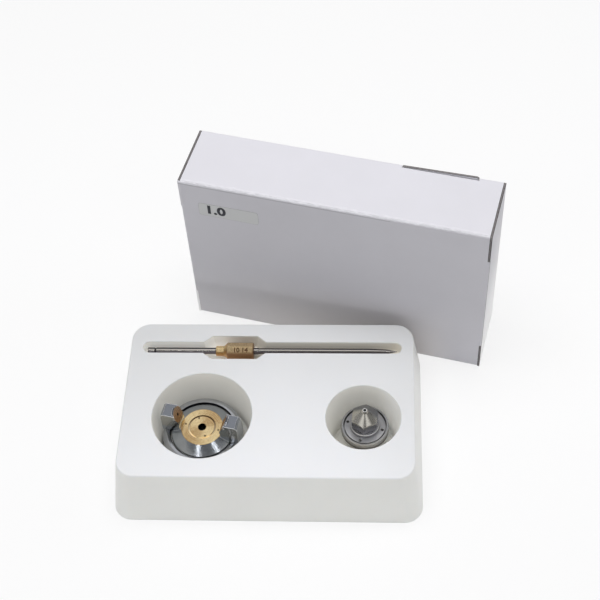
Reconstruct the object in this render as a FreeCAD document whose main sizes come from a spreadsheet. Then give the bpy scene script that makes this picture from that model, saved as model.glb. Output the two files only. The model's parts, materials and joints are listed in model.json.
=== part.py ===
import FreeCAD
import Part
import Sketcher
import math
import os

# Spare fluid-tip set of an HVLP spray gun: needle, air cap with its retaining ring and fluid nozzle
# in their moulded tray, with the small corrugated carton they come in.

doc = FreeCAD.newDocument("tip_set")
sheet = doc.addObject("Spreadsheet::Sheet", "sizes")

# Driving dimensions in millimetres and degrees.
SIZES = [
    # tray
    ("trayLength", 148.9), ("trayDepth", 93.5), ("trayHeight", 33.3),
    ("trayDraftX", 4.35), ("trayDraftY", 6.1), ("trayCorner", 9.5), ("trayEdge", 0.5),
    ("floorThick", 3.0), ("seatGap", 0.2), ("mouthRound", 0.4), ("pocketRound", 1.2),
    ("capPocketInset", 40.95), ("capPocketFront", 36.25), ("capPocketRoom", 2.45),
    ("capPocketFlare", 2.3), ("nozzlePocketInset", 25.95), ("nozzlePocketFront", 35.75),
    ("nozzlePocketRoom", 4.4), ("nozzlePocketFlare", 2.4),
    ("troughSide", 1.82), ("troughEnd", 2.2), ("troughFloorGap", 0.62), ("troughDraft", 1.2),
    ("reliefSide", 2.95), ("reliefEnd", 2.0), ("reliefShoulder", 4.7), ("reliefDraft", 1.2),
    # needle
    ("needleInset", 8.55), ("needleBack", 15.25), ("needleSink", 3.4), ("needleLength", 132.0),
    ("needleRadius", 1.78), ("needleStep", 2.2), ("needleLeadIn", 0.8),
    ("needleGround", 1.6),
    ("needleTaper", 14.0), ("needleTip", 6.0), ("needleShoulder", 1.2),
    ("needlePoint", 0.15), ("tailGroovePlace", 3.8), ("tailGrooveWidth", 0.7), ("tailGrooveDepth", 0.4),
    ("collarPlace", 36.4), ("collarNeckLength", 4.3), ("collarNeckRadius", 2.7), ("collarConeLength", 1.9),
    ("collarLength", 13.7), ("collarRadius", 4.45), ("collarPress", 0.02), ("collarChamfer", 0.4),
    # air cap with its retaining ring
    ("capOffsetX", -1.0), ("hornTurn", -12.0),
    ("ringRadius", 20.75), ("ringHeight", 15.3), ("ringLip", 2.0), ("ringOpening", 16.65),
    ("ringBore", 18.5), ("ringRelief", 0.4), ("ringThread", 8.0), ("ringShoulder", 2.6), ("ringChamfer", 0.8),
    ("fluteCount", 30), ("fluteRadius", 1.3), ("fluteDepth", 0.5), ("fluteLow", 2.0), ("fluteHigh", 10.0),
    ("capRunGap", 0.6), ("skirtBottom", 9.2), ("faceHeight", 18.4), ("faceRadius", 10.65),
    ("faceCut", 11.4), ("faceCutHeight", 3.0), ("cavityRadius", 14.0), ("cavityTop", 15.4),
    ("cavityTopRadius", 8.5), ("cavityStraight", 11.0), ("capHole", 2.15),
    ("faceGroove", 6.75), ("faceGrooveWidth", 0.7), ("faceGrooveDepth", 0.5),
    ("auxHole", 0.45), ("auxInner", 5.7), ("auxOuter", 8.7), ("auxTurn", 122.0),
    ("hornHeight", 28.8), ("hornOuter", 20.4), ("hornInner", 10.6), ("hornWidth", 7.6),
    ("hornLift", 0.4), ("hornBevel", 1.3), ("jetReach", 12.1), ("jetHeight", 26.4), ("jetSlope", 68.0),
    ("jetBoss", 4.1), ("jetBossDepth", 1.2), ("jetHole", 0.8), ("jetDepth", 4.0),
    ("airWay", 1.3), ("airWayFoot", 13.0), ("airWayLean", 9.0), ("airWayLength", 14.2),
    ("snapWire", 0.75), ("snapSeat", 0.7), ("snapGap", 30.0),
    ("washerThick", 1.0), ("washerRadius", 18.1), ("washerGap", 0.2),
    # fluid nozzle
    ("nozzleOffsetX", 0.75), ("nozzleOffsetY", 3.6), ("hexTurn", -5.0),
    ("shankRadius", 7.0), ("shankLow", 1.0), ("shankHigh", 9.0), ("undercutRadius", 6.3),
    ("seatLevel", 10.0), ("seatRadius", 8.6),
    ("flangeLow", 13.4), ("flangeRadius", 10.4), ("flangeTop", 15.8),
    ("nozzleCollarRadius", 7.6), ("nozzleCollarTop", 18.2), ("hexFlats", 12.8), ("hexTop", 24.5),
    ("tipNeckRadius", 1.8), ("tipNeckHeight", 29.4), ("tipRadius", 1.1), ("nozzleHeight", 30.5),
    ("orificeRadius", 0.5), ("nozzleBore", 2.3), ("boreTop", 25.0),
    ("airHole", 0.8), ("airHolePlace", 9.15), ("airHoleCount", 4), ("airHoleTurn", -15.0),
    ("distRadius", 12.2), ("distGap", 0.75), ("distTop", 16.3), ("distWeb", 1.4), ("distInner", 8.7),
    ("sealThick", 0.8), ("sealRadius", 8.4), ("sealGap", 0.1),
    # carton
    ("cartonGap", 0.25), ("cartonShift", 40.15), ("cartonTurn", -13.53),
    ("cartonLength", 161.2), ("cartonDepth", 36.8), ("cartonHeight", 108.3), ("board", 1.2),
    ("reliefCut", 18.6), ("foldRound", 0.9), ("lidGap", 0.3), ("flapGap", 0.3),
    ("tuckLength", 13.0), ("tuckInset", 5.0), ("tuckLean", 7.0), ("tuckCorner", 6.0),
    ("dustDepth", 19.0), ("dustLowGap", 4.8), ("dustHighGap", 5.1), ("dustTaper", 6.0),
    ("glueLength", 18.0), ("glueInset", 2.0), ("glueTaper", 4.0),
    ("tabX", 47.5), ("tabWidth", 39.0), ("tabLow", 0.2), ("tabHigh", 1.2), ("tabRound", 1.2),
    ("labelLeft", 9.6), ("labelDrop", 13.6), ("labelLength", 32.1), ("labelHeight", 9.1),
    ("labelThick", 0.12), ("labelCorner", 1.5),
]

for row, (alias, number) in enumerate(SIZES, start=1):
    sheet.set("A%d" % row, alias)
    sheet.set("B%d" % row, str(number))
    sheet.setAlias("B%d" % row, alias)
doc.recompute()

SPIN_SIDES = {"XY": "XY_Plane", "XZ": "XZ_Plane", "YZ": "YZ_Plane"}


def value(expression):
    return float(sheet.evalExpression(str(expression)))


def originItem(body, role):
    for item in body.Origin.OriginFeatures:
        if item.Role == role:
            return item
    raise ValueError(role)


def newBody(label, place=None, turn=None, turnAxis=(0, 0, 1)):
    body = doc.addObject("PartDesign::Body", label)
    body.Label = label
    body.Placement.Rotation.Axis = FreeCAD.Vector(*turnAxis)
    for letter, expression in zip("xyz", place or ()):
        body.setExpression("Placement.Base." + letter, expression)
    if turn:
        body.Placement.Rotation = FreeCAD.Rotation(FreeCAD.Vector(*turnAxis), value(turn))
        body.setExpression("Placement.Rotation.Angle", turn)
    return body


def newSketch(body, name, plane, shift=None):
    sketch = body.newObject("Sketcher::SketchObject", name)
    sketch.AttachmentSupport = [(originItem(body, SPIN_SIDES[plane]), "")]
    sketch.MapMode = "FlatFace"
    for letter, expression in zip("xyz", shift or ()):
        sketch.setExpression("AttachmentOffset.Base." + letter, expression)
    return sketch


def bind(sketch, kind, geometry, point, expression):
    # ties one coordinate of a point to an expression, measured from the sketch's origin
    number = sketch.addConstraint(Sketcher.Constraint(kind, -1, 1, geometry, point, value(expression)))
    sketch.setExpression("Constraints[%d]" % number, str(expression))


def addPolygon(sketch, corners):
    points = [FreeCAD.Vector(value(x), value(y), 0) for x, y in corners]
    first = len(sketch.Geometry)
    total = len(points)
    lines = [Part.LineSegment(points[i], points[(i + 1) % total]) for i in range(total)]
    sketch.addGeometry(lines)
    for i in range(total):
        sketch.addConstraint(Sketcher.Constraint("Coincident", first + i, 2, first + (i + 1) % total, 1))
    for i, (x, y) in enumerate(corners):
        bind(sketch, "DistanceX", first + i, 1, x)
        bind(sketch, "DistanceY", first + i, 1, y)
    return sketch


def addCircle(sketch, x, y, radius):
    centre = FreeCAD.Vector(value(x), value(y), 0)
    number = sketch.addGeometry(Part.Circle(centre, FreeCAD.Vector(0, 0, 1), value(radius)))
    bind(sketch, "DistanceX", number, 3, x)
    bind(sketch, "DistanceY", number, 3, y)
    count = sketch.addConstraint(Sketcher.Constraint("Radius", number, value(radius)))
    sketch.setExpression("Constraints[%d]" % count, str(radius))
    return sketch


def extrude(body, kind, sketch, length, both=False, reverse=False):
    feature = body.newObject("PartDesign::" + kind, sketch.Name + kind)
    feature.Profile = sketch
    feature.setExpression("Length", length)
    if both:
        feature.SideType = "Symmetric"
    feature.Reversed = reverse
    return feature


def turnAbout(body, kind, sketch, axis="V_Axis"):
    feature = body.newObject("PartDesign::" + kind, sketch.Name + kind)
    feature.Profile = sketch
    feature.ReferenceAxis = (sketch, [axis])
    feature.Angle = 360
    return feature


def turned(body, name, corners, plane="XZ", kind="Revolution", shift=None, axis="V_Axis"):
    return turnAbout(body, kind, addPolygon(newSketch(body, name, plane, shift), corners), axis)


def loft(body, kind, name, lower, *upper):
    feature = body.newObject("PartDesign::" + kind, name)
    feature.Profile = lower
    feature.Sections = list(upper)
    feature.Ruled = True
    return feature


def polar(body, name, features, count):
    pattern = body.newObject("PartDesign::PolarPattern", name)
    pattern.Originals = features
    pattern.Axis = (originItem(body, "Z_Axis"), [""])
    pattern.Angle = 360
    pattern.setExpression("Occurrences", count)
    body.Tip = pattern
    return pattern


def leaning(body, name, kind, foot, slope, radius, length):
    # a round bar or drilling whose axis lies in the XZ plane, leaning by the slope from +X down towards -Z
    along = ("cos(%s)" % slope, "-sin(%s)" % slope)
    across = ("sin(%s)" % slope, "cos(%s)" % slope)
    side = tuple("(%s + %s * %s)" % (foot[i], radius, across[i]) for i in (0, 1))
    end = tuple("(%s + %s * %s)" % (foot[i], length, along[i]) for i in (0, 1))
    far = tuple("(%s + %s * %s)" % (side[i], length, along[i]) for i in (0, 1))
    sketch = addPolygon(newSketch(body, name, "XZ"), [foot, side, far, end])
    ends = [FreeCAD.Vector(value(x), value(y), 0) for x, y in (foot, end)]
    axis = sketch.addGeometry(Part.LineSegment(*ends), True)
    sketch.addConstraint(Sketcher.Constraint("Coincident", axis, 1, 0, 1))
    sketch.addConstraint(Sketcher.Constraint("Coincident", axis, 2, 3, 1))
    return turnAbout(body, kind, sketch, "Axis0")


def roundEdges(body, name, base, radius, wanted):
    # fillets the edges of the base that the test picks out by their shape and place
    doc.recompute()
    names = ["Edge%d" % (i + 1) for i, edge in enumerate(base.Shape.Edges) if wanted(edge)]
    feature = body.newObject("PartDesign::Fillet", name)
    feature.Base = (base, names)
    feature.setExpression("Radius", radius)
    return feature


def atHeight(edge, level):
    box = edge.BoundBox
    return abs(box.ZMin - level) < 1e-4 and abs(box.ZMax - level) < 1e-4


def addRounded(sketch, halfX, halfY, radius):
    # a centred rectangle with round corners: four arcs, then the four sides tangent to them
    corners = [("", "-"), ("", ""), ("-", ""), ("-", "-")]
    ends = []
    for i, (signX, signY) in enumerate(corners):
        x, y = "%s(%s - %s)" % (signX, halfX, radius), "%s(%s - %s)" % (signY, halfY, radius)
        circle = Part.Circle(FreeCAD.Vector(value(x), value(y), 0), FreeCAD.Vector(0, 0, 1), value(radius))
        arc = Part.ArcOfCircle(circle, math.radians(90 * i - 90), math.radians(90 * i))
        sketch.addGeometry(arc)
        ends.append((arc.StartPoint, arc.EndPoint))
        bind(sketch, "DistanceX", i, 3, x)
        bind(sketch, "DistanceY", i, 3, y)
        count = sketch.addConstraint(Sketcher.Constraint("Radius", i, value(radius)))
        sketch.setExpression("Constraints[%d]" % count, radius)
    for i in range(4):
        following = (i + 1) % 4
        line = sketch.addGeometry(Part.LineSegment(ends[i][1], ends[following][0]))
        sketch.addConstraint(Sketcher.Constraint("Tangent", i, 2, line, 1))
        sketch.addConstraint(Sketcher.Constraint("Tangent", line, 2, following, 1))
    return sketch


# ---- levels and places worked out from the driving dimensions
capPocketX = "(sizes.capPocketInset - sizes.trayLength / 2)"
capPocketY = "(sizes.capPocketFront - sizes.trayDepth / 2)"
nozzlePocketX = "(sizes.trayLength / 2 - sizes.nozzlePocketInset)"
nozzlePocketY = "(sizes.nozzlePocketFront - sizes.trayDepth / 2)"
needleTailX = "(sizes.needleInset - sizes.trayLength / 2)"
needleY = "(sizes.trayDepth / 2 - sizes.needleBack)"
needleZ = "(sizes.trayHeight - sizes.needleSink)"
collarTotal = "(sizes.collarNeckLength + sizes.collarConeLength + sizes.collarLength)"
collarMiddle = "(%s + sizes.collarPlace + %s / 2)" % (needleTailX, collarTotal)
needleMiddle = "(%s + sizes.needleLength / 2)" % needleTailX
seatLevel = "(sizes.floorThick + sizes.seatGap)"
capX = "(%s + sizes.capOffsetX)" % capPocketX
nozzleX = "(%s + sizes.nozzleOffsetX)" % nozzlePocketX
nozzleY = "(%s + sizes.nozzleOffsetY)" % nozzlePocketY


# ---- tray: a drafted block with two round pockets and a stepped trough for the needle
def makeTray():
    body = newBody("tray")
    halfX, halfY = "(sizes.trayLength / 2)", "(sizes.trayDepth / 2)"
    baseX, baseY = "(sizes.trayLength / 2 + sizes.trayDraftX)", "(sizes.trayDepth / 2 + sizes.trayDraftY)"
    levels = ((baseX, baseY, "0", "0"), (halfX, halfY, "0", "(sizes.trayHeight - sizes.trayEdge)"),
              (halfX, halfY, "sizes.trayEdge", "sizes.trayHeight"))
    rings = []
    for i, (x, y, inset, level) in enumerate(levels):
        sketch = newSketch(body, "trayRim%d" % i, "XY", ("0", "0", level))
        rings.append(addRounded(sketch, "(%s - %s)" % (x, inset), "(%s - %s)" % (y, inset),
                                "(sizes.trayCorner - %s)" % inset))
    loft(body, "AdditiveLoft", "block", rings[0], *rings[1:])

    pockets = (
        ("capPocket", capPocketX, capPocketY,
         "(sizes.ringRadius + sizes.capPocketRoom)", "sizes.capPocketFlare"),
        ("nozzlePocket", nozzlePocketX, nozzlePocketY,
         "(sizes.distRadius + sizes.nozzlePocketRoom)", "sizes.nozzlePocketFlare"))
    for name, x, y, radius, flare in pockets:
        mouth = "(%s + %s)" % (radius, flare)
        turned(body, name, [
            ("0", "sizes.floorThick"),
            ("(%s - sizes.pocketRound)" % radius, "sizes.floorThick"),
            (radius, "(sizes.floorThick + sizes.pocketRound)"),
            (mouth, "(sizes.trayHeight - sizes.mouthRound)"),
            ("(%s + sizes.mouthRound)" % mouth, "sizes.trayHeight"),
            ("(%s + sizes.mouthRound)" % mouth, "(sizes.trayHeight + 1)"),
            ("0", "(sizes.trayHeight + 1)"),
        ], kind="Groove", shift=(x, "0", "-%s" % y))

    # narrow trough: a drafted channel closed by a half cone at each end
    halfWide = "(sizes.needleRadius + sizes.troughSide)"
    halfNarrow = "(%s - sizes.troughDraft)" % halfWide
    halfSpan = "(sizes.needleLength / 2 + sizes.troughEnd - %s)" % halfWide
    floor = "(%s - sizes.needleRadius - sizes.troughFloorGap)" % needleZ
    channel = addPolygon(newSketch(body, "channel", "YZ", (needleY, "0", needleMiddle)), [
        ("-" + halfNarrow, floor), (halfNarrow, floor),
        (halfWide, "sizes.trayHeight"), (halfWide, "(sizes.trayHeight + 1)"),
        ("-" + halfWide, "(sizes.trayHeight + 1)"), ("-" + halfWide, "sizes.trayHeight")])
    extrude(body, "Pocket", channel, "(2 * %s)" % halfSpan, both=True)
    for name, side in (("tailEnd", "-"), ("tipEnd", "+")):
        turned(body, name, [
            ("0", floor), (halfNarrow, floor), (halfWide, "sizes.trayHeight"),
            (halfWide, "(sizes.trayHeight + 1)"), ("0", "(sizes.trayHeight + 1)"),
        ], kind="Groove", shift=("(%s %s %s)" % (needleMiddle, side, halfSpan), "0", "-" + needleY))

    # wide relief under the needle's collar, with sloped shoulders
    reliefX = "(%s / 2 + sizes.reliefEnd + sizes.reliefShoulder)" % collarTotal
    reliefY = "(sizes.collarRadius + sizes.reliefSide)"
    reliefFloor = "(%s - sizes.collarRadius - sizes.seatGap)" % needleZ
    sketches = []
    for suffix, inset, level in (("Low", "sizes.reliefDraft", reliefFloor),
                                 ("High", "0", "sizes.trayHeight")):
        endX = "(%s - %s)" % (reliefX, inset)
        flatX = "(%s - %s - sizes.reliefShoulder)" % (reliefX, inset)
        flatY = "(%s - %s)" % (reliefY, inset)
        endY = "(%s - 0.1 * sizes.troughSide - %s)" % (halfWide, inset)
        sketch = newSketch(body, "relief" + suffix, "XY", (collarMiddle, needleY, level))
        right = [(endX, "-" + endY), (endX, endY), (flatX, flatY)]
        left = [("-" + flatX, flatY), ("-" + endX, endY), ("-" + endX, "-" + endY)]
        near = [("-" + flatX, "-" + flatY), (flatX, "-" + flatY)]
        sketches.append(addPolygon(sketch, right + left + near))
    loft(body, "SubtractiveLoft", "relief", sketches[0], sketches[1])
    return body


# ---- needle: ground rod with a tail groove and a two-stage point, and the brass collar pressed on it
def makeNeedle():
    place = (needleTailX, needleY, needleZ)
    groundFrom = "(sizes.collarPlace + %s + sizes.needleStep)" % collarTotal
    rod = newBody("needle_rod", place)
    turned(rod, "rod", [
        ("0", "0"), ("0", "(sizes.needleRadius - 0.3)"), ("0.3", "sizes.needleRadius"),
        ("sizes.tailGroovePlace", "sizes.needleRadius"),
        ("sizes.tailGroovePlace", "(sizes.needleRadius - sizes.tailGrooveDepth)"),
        ("(sizes.tailGroovePlace + sizes.tailGrooveWidth)", "(sizes.needleRadius - sizes.tailGrooveDepth)"),
        ("(sizes.tailGroovePlace + sizes.tailGrooveWidth)", "sizes.needleRadius"),
        (groundFrom, "sizes.needleRadius"),
        ("(%s + sizes.needleLeadIn)" % groundFrom, "sizes.needleGround"),
        ("(sizes.needleLength - sizes.needleTaper)", "sizes.needleGround"),
        ("(sizes.needleLength - sizes.needleTip)", "sizes.needleShoulder"),
        ("sizes.needleLength", "sizes.needlePoint"), ("sizes.needleLength", "0"),
    ], plane="XY", axis="H_Axis")

    collar = newBody("needle_collar", place)
    bore = "(sizes.needleRadius + sizes.collarPress)"
    neckEnd = "(sizes.collarPlace + sizes.collarNeckLength)"
    coneEnd = "(%s + sizes.collarConeLength)" % neckEnd
    frontEnd = "(%s + sizes.collarLength)" % coneEnd
    turned(collar, "collar", [
        ("sizes.collarPlace", bore), ("sizes.collarPlace", "(sizes.collarNeckRadius - 0.3)"),
        ("(sizes.collarPlace + 0.3)", "sizes.collarNeckRadius"), (neckEnd, "sizes.collarNeckRadius"),
        (coneEnd, "sizes.collarRadius"), ("(%s - sizes.collarChamfer)" % frontEnd, "sizes.collarRadius"),
        (frontEnd, "(sizes.collarRadius - sizes.collarChamfer)"), (frontEnd, bore),
    ], plane="XY", axis="H_Axis")


capPlace = (capX, capPocketY, seatLevel)


# ---- air cap: turned skirt, cone and flat face, with two drilled horns
def makeAirCap():
    body = newBody("air_cap", capPlace, "sizes.hornTurn")
    skirt = "(sizes.ringOpening - sizes.capRunGap)"
    lipUnder = "(sizes.ringHeight - sizes.ringLip)"
    wireLevel = "(%s - sizes.washerGap - sizes.washerThick - sizes.snapWire)" % lipUnder
    groove = "(%s - sizes.snapSeat)" % skirt
    coneFoot = "(sizes.ringHeight - 0.2)"
    turned(body, "turnedCap", [
        ("sizes.cavityRadius", "sizes.skirtBottom"), (skirt, "sizes.skirtBottom"),
        (skirt, "(%s - sizes.snapWire)" % wireLevel), (groove, "(%s - sizes.snapWire)" % wireLevel),
        (groove, "(%s + sizes.snapWire)" % wireLevel), (skirt, "(%s + sizes.snapWire)" % wireLevel),
        (skirt, coneFoot), ("sizes.faceRadius", "sizes.faceHeight"),
        ("(sizes.faceGroove + sizes.faceGrooveWidth / 2)", "sizes.faceHeight"),
        ("(sizes.faceGroove + sizes.faceGrooveWidth / 2)", "(sizes.faceHeight - sizes.faceGrooveDepth)"),
        ("(sizes.faceGroove - sizes.faceGrooveWidth / 2)", "(sizes.faceHeight - sizes.faceGrooveDepth)"),
        ("(sizes.faceGroove - sizes.faceGrooveWidth / 2)", "sizes.faceHeight"),
        ("sizes.capHole", "sizes.faceHeight"), ("sizes.capHole", "sizes.cavityTop"),
        ("sizes.cavityTopRadius", "sizes.cavityTop"),
        ("sizes.cavityRadius", "sizes.cavityStraight"),
    ])

    # horn: an upright block whose inner side leans to face the spray
    slope = "tan(sizes.jetSlope)"
    hornTopIn = "(sizes.jetReach + (sizes.hornHeight - sizes.jetHeight) / %s)" % slope
    leanFoot = "(sizes.jetHeight - (sizes.jetReach - sizes.hornInner) * %s)" % slope
    overRing = "(sizes.ringHeight + sizes.hornLift)"
    horn = addPolygon(newSketch(body, "horn", "XZ"), [
        ("sizes.hornInner", "sizes.ringHeight"), ("(%s - 0.6)" % skirt, "sizes.ringHeight"),
        ("(%s - 0.6)" % skirt, overRing), ("sizes.hornOuter", overRing),
        ("sizes.hornOuter", "(sizes.hornHeight - sizes.hornBevel)"),
        ("(sizes.hornOuter - sizes.hornBevel)", "sizes.hornHeight"), (hornTopIn, "sizes.hornHeight"),
        ("sizes.hornInner", leanFoot)])
    hornPad = extrude(body, "Pad", horn, "sizes.hornWidth", both=True)

    # round boss square to the jet, the jet itself, and the air way drilled up to meet it
    jetFoot = ("sizes.jetReach", "sizes.jetHeight")
    jetLean = "(90 - sizes.jetSlope)"
    boss = leaning(body, "jetBoss", "Revolution", jetFoot, jetLean, "sizes.jetBoss", "sizes.jetBossDepth")
    jet = leaning(body, "jet", "Groove", jetFoot, jetLean, "sizes.jetHole", "sizes.jetDepth")
    wayFoot = ("sizes.airWayFoot", "sizes.cavityStraight")
    way = leaning(body, "airWay", "Groove", wayFoot, "(sizes.airWayLean - 90)",
                  "sizes.airWay", "sizes.airWayLength")
    polar(body, "hornPair", [hornPad, boss, jet, way], "2")

    # the facing cut runs out to the feet of the horns
    turned(body, "facing", [
        ("0", "sizes.faceHeight"), ("sizes.faceCut", "sizes.faceHeight"),
        ("sizes.faceCut", "(sizes.faceHeight + sizes.faceCutHeight)"),
        ("0", "(sizes.faceHeight + sizes.faceCutHeight)")], kind="Groove")
    holes = newSketch(body, "faceHoles", "XY", ("0", "0", "sizes.faceHeight"))
    for radius, turn in (("sizes.auxInner", "sizes.auxTurn"), ("sizes.auxOuter", "0")):
        for half in ("0", "180"):
            x = "(%s * cos(%s + %s))" % (radius, turn, half)
            y = "(%s * sin(%s + %s))" % (radius, turn, half)
            addCircle(holes, x, y, "sizes.auxHole")
    extrude(body, "Pocket", holes, "(sizes.faceHeight - sizes.cavityTop + 1)")

    # sprung wire ring in the skirt's groove, and the slip washer between it and the ring's lip
    wire = doc.addObject("Part::Torus", "cap_snap_ring")
    wire.Label = "cap_snap_ring"
    wire.setExpression("Radius1", "%s + sizes.snapWire + 0.05" % groove)
    wire.setExpression("Radius2", "sizes.snapWire - 0.02")
    wire.setExpression("Angle3", "360 - sizes.snapGap")
    wire.setExpression("Placement.Base.x", capX)
    wire.setExpression("Placement.Base.y", capPocketY)
    wire.setExpression("Placement.Base.z", "%s + %s" % (seatLevel, wireLevel))

    washer = newBody("cap_slip_washer", capPlace)
    washerTop = "(%s - sizes.washerGap)" % lipUnder
    washerIn = "(%s + 0.15)" % skirt
    turned(washer, "washer", [
        (washerIn, "(%s - sizes.washerThick)" % washerTop),
        ("sizes.washerRadius", "(%s - sizes.washerThick)" % washerTop),
        ("sizes.washerRadius", washerTop), (washerIn, washerTop)])


# ---- retaining ring: threaded skirt with grip flutes and a rounded shoulder over the cap
def makeRing():
    body = newBody("retaining_ring", capPlace)
    lipUnder = "(sizes.ringHeight - sizes.ringLip)"
    relief = "(sizes.ringBore + sizes.ringRelief)"
    threadEnd = "(sizes.ringChamfer + sizes.ringThread)"
    shape = turned(body, "ring", [
        ("(sizes.ringBore + sizes.ringChamfer)", "0"), ("(sizes.ringRadius - sizes.ringChamfer)", "0"),
        ("sizes.ringRadius", "sizes.ringChamfer"), ("sizes.ringRadius", "sizes.ringHeight"),
        ("(sizes.ringOpening + 0.4)", "sizes.ringHeight"), ("sizes.ringOpening", "(sizes.ringHeight - 0.4)"),
        ("sizes.ringOpening", lipUnder), (relief, lipUnder), (relief, threadEnd),
        ("sizes.ringBore", threadEnd), ("sizes.ringBore", "sizes.ringChamfer")])
    outer, top = value("sizes.ringRadius"), value("sizes.ringHeight")
    roundEdges(body, "shoulder", shape, "sizes.ringShoulder",
               lambda e: atHeight(e, top) and e.BoundBox.XMax > outer - 0.01)
    flute = newSketch(body, "flute", "XY", ("0", "0", "sizes.fluteLow"))
    addCircle(flute, "(sizes.ringRadius + sizes.fluteRadius - sizes.fluteDepth)", "0", "sizes.fluteRadius")
    cut = extrude(body, "Pocket", flute, "(sizes.fluteHigh - sizes.fluteLow)", reverse=True)
    polar(body, "flutes", [cut], "sizes.fluteCount")


# ---- fluid nozzle, the air distribution ring pressed round its flange, and its seat seal
def makeNozzle():
    place = (nozzleX, nozzleY, seatLevel)
    body = newBody("fluid_nozzle", place, "sizes.hexTurn")
    hexCorner = "(sizes.hexFlats / sqrt(3))"
    turned(body, "turnedNozzle", [
        ("sizes.nozzleBore", "0"), ("(sizes.undercutRadius - 0.4)", "0"), ("sizes.undercutRadius", "0.4"),
        ("sizes.undercutRadius", "sizes.shankLow"), ("sizes.shankRadius", "(sizes.shankLow + 0.001)"),
        ("sizes.shankRadius", "sizes.shankHigh"), ("sizes.undercutRadius", "(sizes.shankHigh + 0.001)"),
        ("sizes.undercutRadius", "sizes.seatLevel"), ("sizes.seatRadius", "sizes.seatLevel"),
        ("sizes.seatRadius", "sizes.flangeLow"), ("sizes.flangeRadius", "sizes.flangeLow"),
        ("sizes.flangeRadius", "sizes.flangeTop"), ("sizes.nozzleCollarRadius", "sizes.flangeTop"),
        ("sizes.nozzleCollarRadius", "(sizes.nozzleCollarTop - 0.4)"),
        ("(sizes.nozzleCollarRadius - 0.4)", "sizes.nozzleCollarTop"), (hexCorner, "sizes.nozzleCollarTop"),
        (hexCorner, "sizes.hexTop"), ("sizes.tipNeckRadius", "sizes.tipNeckHeight"),
        ("sizes.tipRadius", "sizes.nozzleHeight"), ("sizes.orificeRadius", "sizes.nozzleHeight"),
        ("sizes.orificeRadius", "sizes.tipNeckHeight"), ("sizes.nozzleBore", "sizes.boreTop")])
    flats = newSketch(body, "flats", "XY", ("0", "0", "sizes.nozzleCollarTop"))
    addCircle(flats, "0", "0", "(sizes.nozzleCollarRadius + 2)")
    addPolygon(flats, [("(%s * sin(%d))" % (hexCorner, 60 * i), "(-%s * cos(%d))" % (hexCorner, 60 * i))
                       for i in range(6)])
    extrude(body, "Pocket", flats, "(sizes.nozzleHeight - sizes.nozzleCollarTop)", reverse=True)
    hole = newSketch(body, "airHole", "XY", ("0", "0", "sizes.flangeTop"))
    holeAt = ("(sizes.airHolePlace * cos(sizes.airHoleTurn - sizes.hexTurn))",
              "(sizes.airHolePlace * sin(sizes.airHoleTurn - sizes.hexTurn))")
    addCircle(hole, holeAt[0], holeAt[1], "sizes.airHole")
    drilled = extrude(body, "Pocket", hole, "(sizes.flangeTop - sizes.flangeLow + 0.2)")
    polar(body, "airHoles", [drilled], "sizes.airHoleCount")

    ring = newBody("air_distribution_ring", place, "sizes.hexTurn")
    inner = "(sizes.flangeRadius + sizes.distGap)"
    webLow = "(sizes.flangeLow - sizes.distWeb)"
    turned(ring, "distribution", [
        ("sizes.distInner", webLow), ("(sizes.distRadius - 0.3)", webLow),
        ("sizes.distRadius", "(%s + 0.3)" % webLow),
        ("sizes.distRadius", "(sizes.distTop - 0.4)"), ("(sizes.distRadius - 0.4)", "sizes.distTop"),
        (inner, "sizes.distTop"), (inner, "sizes.flangeLow"), ("sizes.distInner", "sizes.flangeLow")])
    port = newSketch(ring, "port", "XY", ("0", "0", "sizes.flangeLow"))
    addCircle(port, "(%s + 0.6 * sizes.airHole)" % holeAt[0], holeAt[1], "sizes.airHole")
    portCut = extrude(ring, "Pocket", port, "(sizes.distWeb + 0.2)")
    polar(ring, "ports", [portCut], "sizes.airHoleCount")

    seal = newBody("nozzle_seal", place)
    sealIn = "(sizes.undercutRadius + sizes.sealGap)"
    turned(seal, "seal", [
        (sealIn, "(sizes.seatLevel - sizes.sealThick)"),
        ("sizes.sealRadius", "(sizes.seatLevel - sizes.sealThick)"),
        ("sizes.sealRadius", "sizes.seatLevel"), (sealIn, "sizes.seatLevel")])


# the carton's front stands a small gap behind the tray's rear corner
cornerReach = "(sizes.trayCorner + sizes.cartonGap)"
cornerX = "(sizes.trayLength / 2 + sizes.trayDraftX - sizes.trayCorner)"
cornerY = "(sizes.trayDepth / 2 + sizes.trayDraftY - sizes.trayCorner)"
cartonX = "(%s + %s * sin(-sizes.cartonTurn) - sizes.cartonShift * cos(sizes.cartonTurn))" % (
    cornerX, cornerReach)
cartonY = "(%s + %s * cos(sizes.cartonTurn) + sizes.cartonShift * sin(-sizes.cartonTurn))" % (
    cornerY, cornerReach)
cartonPlace = (cartonX, cartonY, "0")
half = "(sizes.cartonLength / 2)"
innerHalf = "(%s - sizes.board)" % half
topInside = "(sizes.cartonHeight - sizes.board)"
lidInside = "(sizes.cartonDepth - sizes.board)"
lidHalf = "(%s - sizes.lidGap)" % innerHalf
lidLow = "(sizes.board + sizes.lidGap)"
lidTop = "(%s - sizes.lidGap)" % topInside
tabEnds = ("(sizes.tabX - sizes.tabWidth / 2)", "(sizes.tabX + sizes.tabWidth / 2)")


def makePanel(label, plane, corners, level, thickness="sizes.board", reverse=False):
    # a flat piece of board: its outline on a plane of the carton, padded by the board's thickness
    body = newBody(label, cartonPlace, "sizes.cartonTurn")
    sketch = addPolygon(newSketch(body, label + "Outline", plane, ("0", "0", level)), corners)
    return body, extrude(body, "Pad", sketch, thickness, reverse=reverse)


def rectangle(lowX, highX, lowY, highY):
    return [(lowX, lowY), (highX, lowY), (highX, highY), (lowX, highY)]


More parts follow.
